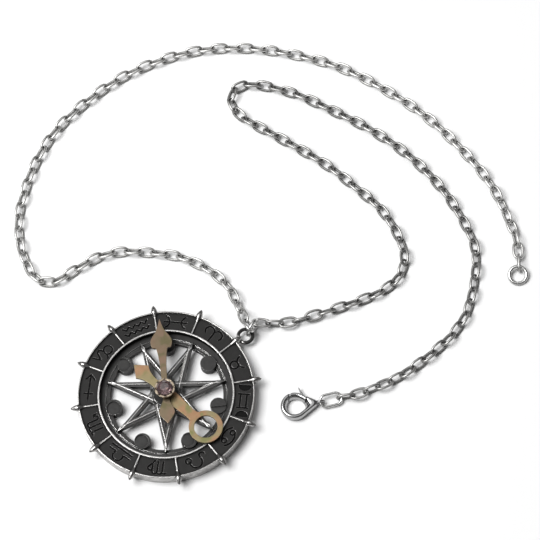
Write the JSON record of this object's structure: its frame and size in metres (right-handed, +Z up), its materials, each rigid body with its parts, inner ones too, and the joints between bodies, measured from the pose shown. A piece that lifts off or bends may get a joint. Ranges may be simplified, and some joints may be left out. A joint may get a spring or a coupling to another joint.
{
  "type": "necklace with compass pendant",
  "caption": "Zodiac compass pendant with a pierced star, moon discs and turning hands around a cut stone, on an open link chain with a lobster clasp",
  "frame": {"origin": "on the surface that the necklace lies on, under the middle of the pendant", "axes": "+Z up from the surface, +X to the right and +Y away as the picture shows them"},
  "size_m": [0.1316, 0.124, 0.0088],
  "materials": {
    "dark_pewter": "antiqued cast pewter, worn bright on its rims",
    "pewter": "antiqued cast pewter, lighter",
    "aged_brass": "satin aged brass sheet",
    "cup_brass": "polished brass",
    "cut_stone": "faceted glass stone, mauve",
    "ring_steel": "polished wire",
    "chain_steel": "antiqued wire links",
    "clasp_steel": "polished casting"
  },
  "bodies": {
    "body": {"compass_ring": "dark_pewter", "star_rose": "pewter", "hub_pin": "cup_brass", "crystal": "cut_stone", "bail_ring": "ring_steel", "chain_ring_side": "chain_steel", "chain_clasp_side": "chain_steel", "end_ring": "ring_steel", "clasp_ring": "ring_steel", "clasp_body": "clasp_steel"},
    "ring_hand": {"ring_hand": "aged_brass"},
    "spade_hand": {"spade_hand": "aged_brass"},
    "lever": {"clasp_lever": "clasp_steel"}
  },
  "joints": [
    {"name": "ring_hand_turn", "type": "hinge", "parent": "body", "child": "ring_hand", "pos_m": [0, 0, 0.00465], "axis": [0, 0, 1], "continuous": true},
    {"name": "spade_hand_turn", "type": "hinge", "parent": "body", "child": "spade_hand", "pos_m": [0, 0, 0.00565], "axis": [0, 0, 1], "continuous": true},
    {"name": "clasp_lever_pivot", "type": "hinge", "parent": "body", "child": "lever", "pos_m": [0.03592, -0.00534, 0.0012], "axis": [0, 0, 1], "range_deg": [0, 20], "stiffness_Nm_per_rad": 0.005, "springref_deg": -17.19}
  ]
}
